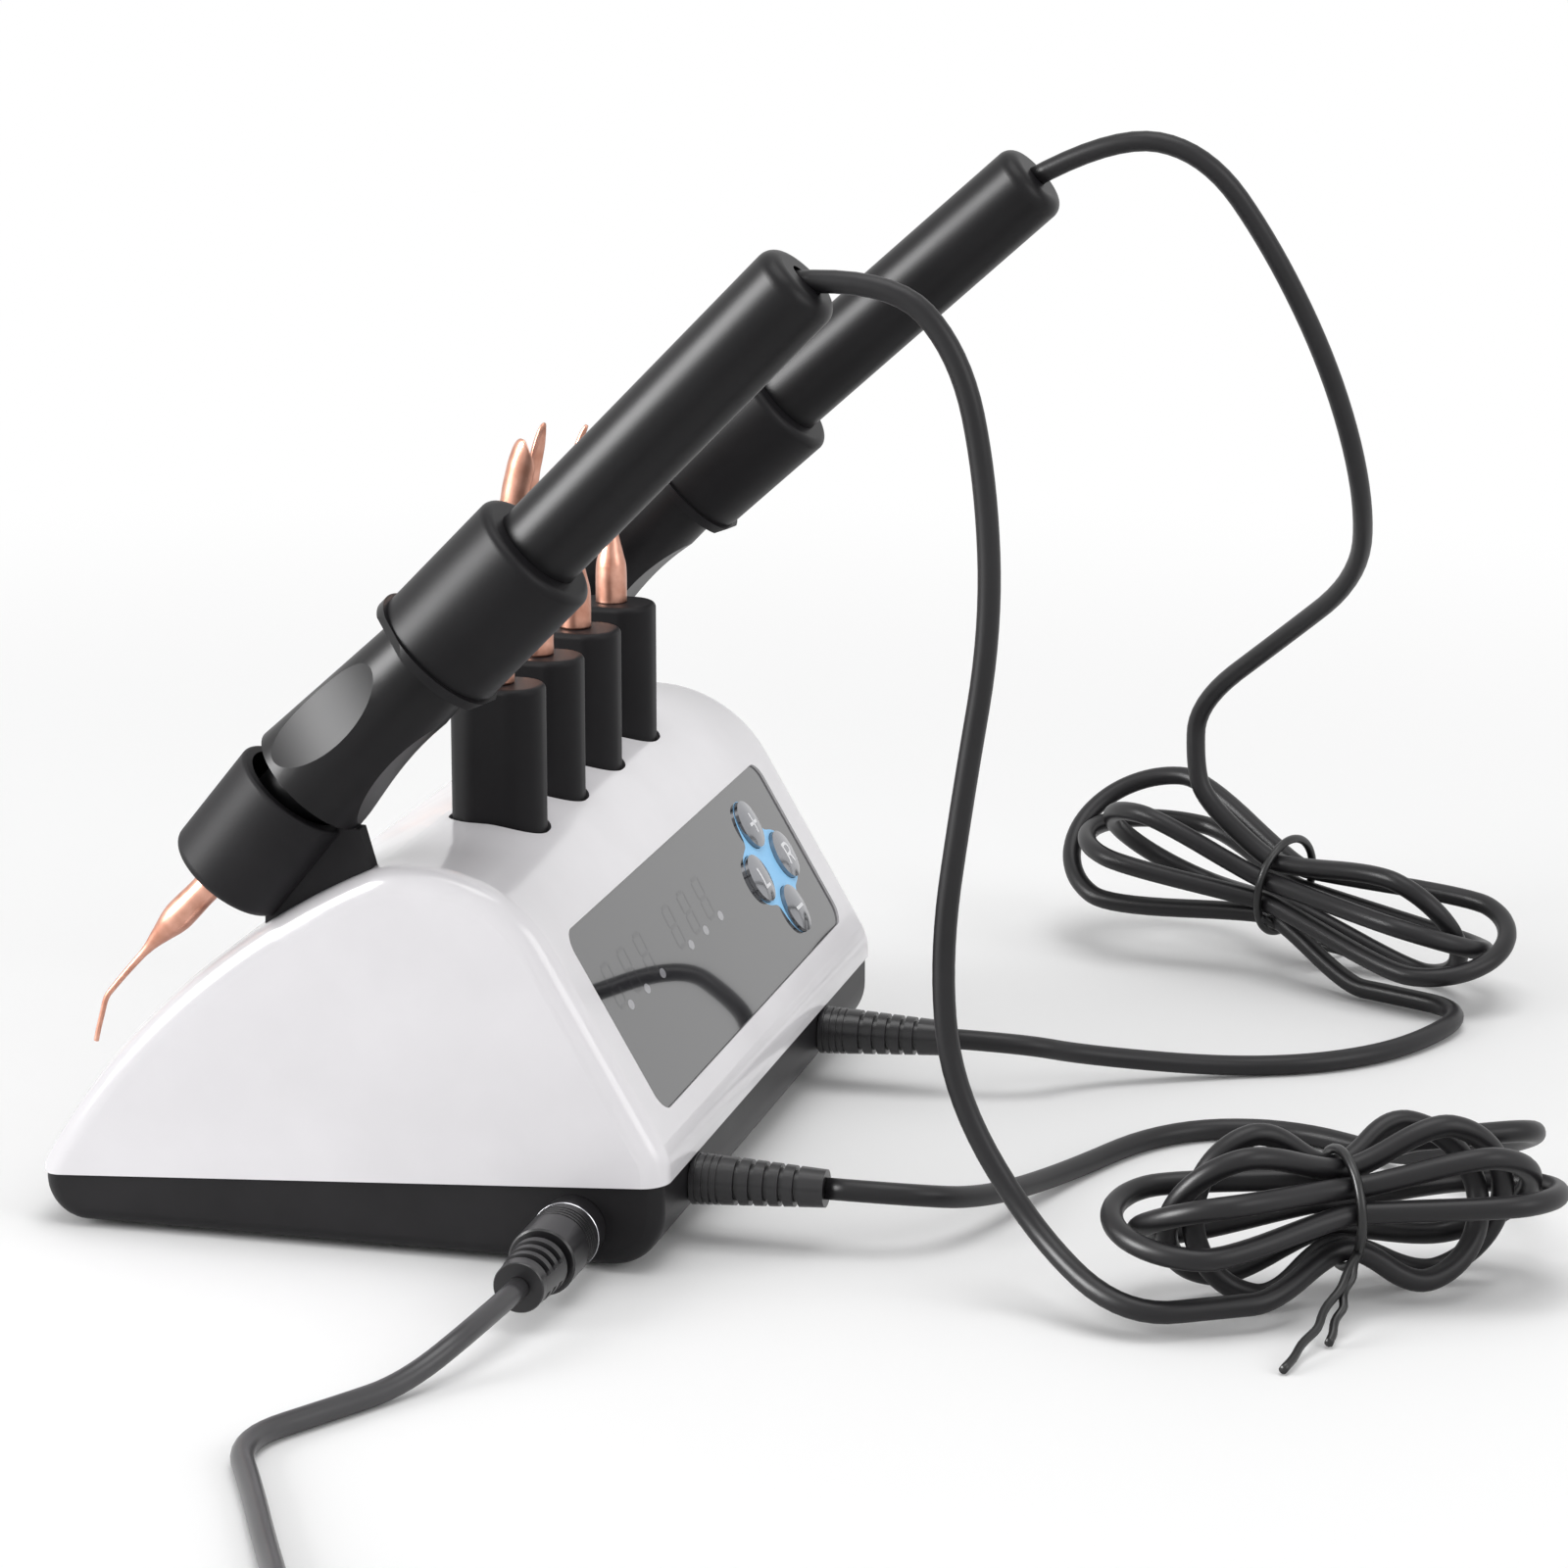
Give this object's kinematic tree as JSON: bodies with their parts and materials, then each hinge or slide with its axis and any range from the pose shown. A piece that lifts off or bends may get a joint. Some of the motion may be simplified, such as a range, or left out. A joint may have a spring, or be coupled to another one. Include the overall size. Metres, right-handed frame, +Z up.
{
  "type": "electric wax carver",
  "caption": "Benchtop electric wax carving station with sloped control panel, corded heated pens in rear cradles, spare tips in pegs and a supply cord with its adapter.",
  "frame": {"origin": "centre of the housing's footprint, on the table that the feet stand on", "axes": "+X along the station from the supply-jack end, -Y towards the user and the panel, +Z up"},
  "size_m": [0.5038, 0.2458, 0.1685],
  "materials": {
    "white_shell": "glossy moulded ABS",
    "base_black": "satin moulded ABS",
    "window_smoke": "dark glossy acrylic with printed areas",
    "button_silver": "glossy metallised cap",
    "soft_black": "soft-touch matte",
    "peg_black": "fine matte moulding",
    "cradle_black": "fine matte moulding",
    "copper_tip": "bare pinkish copper alloy",
    "cord_black": "soft silicone jacket",
    "plug_black": "moulded strain relief",
    "tie_black": "plastic-coated wire",
    "board_green": "glass-epoxy board with solder mask",
    "display_dark": "three-digit display module",
    "switch_black": "tactile switch body",
    "jack_black": "moulded jack body",
    "transistor_black": "epoxy package",
    "ribbon_grey": "flat ribbon cable",
    "screw_steel": "zinc-plated steel",
    "foot_rubber": "rubber",
    "heater_ceramic": "alumina heater core",
    "socket_brass": "turned brass",
    "adapter_black": "fine-textured moulding",
    "prong_steel": "nickel-plated blades"
  },
  "bodies": {
    "station": {"upper_housing": "white_shell", "base_tray": "base_black", "panel_window": "window_smoke", "front_board": "board_green", "left_display": "display_dark", "right_display": "display_dark", "key_switches": "switch_black", "jack_board": "board_green", "output_transistors": "transistor_black", "ribbon_cable": "ribbon_grey", "dc_jack": "jack_black", "left_pen_jack": "jack_black", "right_pen_jack": "jack_black", "rubber_feet": "foot_rubber", "housing_screws": "screw_steel", "board_screws": "screw_steel", "holder_plate": "base_black", "tip_holder_1": "peg_black", "tip_holder_2": "peg_black", "tip_holder_3": "peg_black", "tip_holder_4": "peg_black", "left_cradle": "cradle_black", "right_cradle": "cradle_black", "cradle_screws": "screw_steel", "dc_plug": "plug_black", "dc_cord": "cord_black", "dc_cord_coil": "cord_black", "dc_cord_tie": "tie_black", "power_adapter": "adapter_black", "adapter_prongs": "prong_steel", "left_pen_plug": "plug_black", "right_pen_plug": "plug_black", "left_cord_lead": "cord_black", "right_cord_lead": "cord_black", "left_cord_hank": "cord_black", "right_cord_hank": "cord_black", "left_cord_fall": "cord_black", "right_cord_fall": "cord_black", "left_cord_tie": "tie_black", "right_cord_tie": "tie_black"},
    "plus_button": {"plus_button": "button_silver"},
    "minus_button": {"minus_button": "button_silver"},
    "left_button": {"left_button": "button_silver"},
    "right_button": {"right_button": "button_silver"},
    "spare_tip_1": {"spare_tip_1": "copper_tip"},
    "spare_tip_2": {"spare_tip_2": "copper_tip"},
    "spare_tip_3": {"spare_tip_3": "copper_tip"},
    "spare_tip_4": {"spare_tip_4": "copper_tip"},
    "left_pen": {"left_handle": "soft_black", "left_grip_sleeve": "soft_black", "left_front_barrel": "soft_black", "left_heater_core": "heater_ceramic", "left_tip_socket": "socket_brass"},
    "left_pen_tip": {"left_pen_tip": "copper_tip"},
    "right_pen": {"right_handle": "soft_black", "right_grip_sleeve": "soft_black", "right_front_barrel": "soft_black", "right_heater_core": "heater_ceramic", "right_tip_socket": "socket_brass"},
    "right_pen_tip": {"right_pen_tip": "copper_tip"}
  },
  "joints": [
    {"name": "plus_button_press", "type": "slide", "parent": "station", "child": "plus_button", "axis": [0, 0.866, -0.5], "range_m": [0, 0.0004], "stiffness_N_per_m": 2500, "springref_m": -0.0004},
    {"name": "minus_button_press", "type": "slide", "parent": "station", "child": "minus_button", "axis": [0, 0.866, -0.5], "range_m": [0, 0.0004], "stiffness_N_per_m": 2500, "springref_m": -0.0004},
    {"name": "left_button_press", "type": "slide", "parent": "station", "child": "left_button", "axis": [0, 0.866, -0.5], "range_m": [0, 0.0004], "stiffness_N_per_m": 2500, "springref_m": -0.0004},
    {"name": "right_button_press", "type": "slide", "parent": "station", "child": "right_button", "axis": [0, 0.866, -0.5], "range_m": [0, 0.0004], "stiffness_N_per_m": 2500, "springref_m": -0.0004},
    {"name": "left_pen_lift", "type": "slide", "parent": "station", "child": "left_pen", "axis": [0, -0.6959, 0.7181], "range_m": [0, 0.07], "deforming": ["left_cord_fall"]},
    {"name": "right_pen_lift", "type": "slide", "parent": "station", "child": "right_pen", "axis": [0, -0.7431, 0.6691], "range_m": [0, 0.07], "deforming": ["right_cord_fall"]},
    {"name": "left_tip_pull", "type": "slide", "parent": "left_pen", "child": "left_pen_tip", "axis": [0, 0.6959, -0.7181], "range_m": [0, 0.016]},
    {"name": "right_tip_pull", "type": "slide", "parent": "right_pen", "child": "right_pen_tip", "axis": [0, 0.7431, -0.6691], "range_m": [0, 0.016]},
    {"name": "spare_tip_1_lift", "type": "slide", "parent": "station", "child": "spare_tip_1", "axis": [0, 0, 1], "range_m": [0, 0.035]},
    {"name": "spare_tip_2_lift", "type": "slide", "parent": "station", "child": "spare_tip_2", "axis": [0, 0, 1], "range_m": [0, 0.035]},
    {"name": "spare_tip_3_lift", "type": "slide", "parent": "station", "child": "spare_tip_3", "axis": [0, 0, 1], "range_m": [0, 0.035]},
    {"name": "spare_tip_4_lift", "type": "slide", "parent": "station", "child": "spare_tip_4", "axis": [0, 0, 1], "range_m": [0, 0.035]}
  ]
}
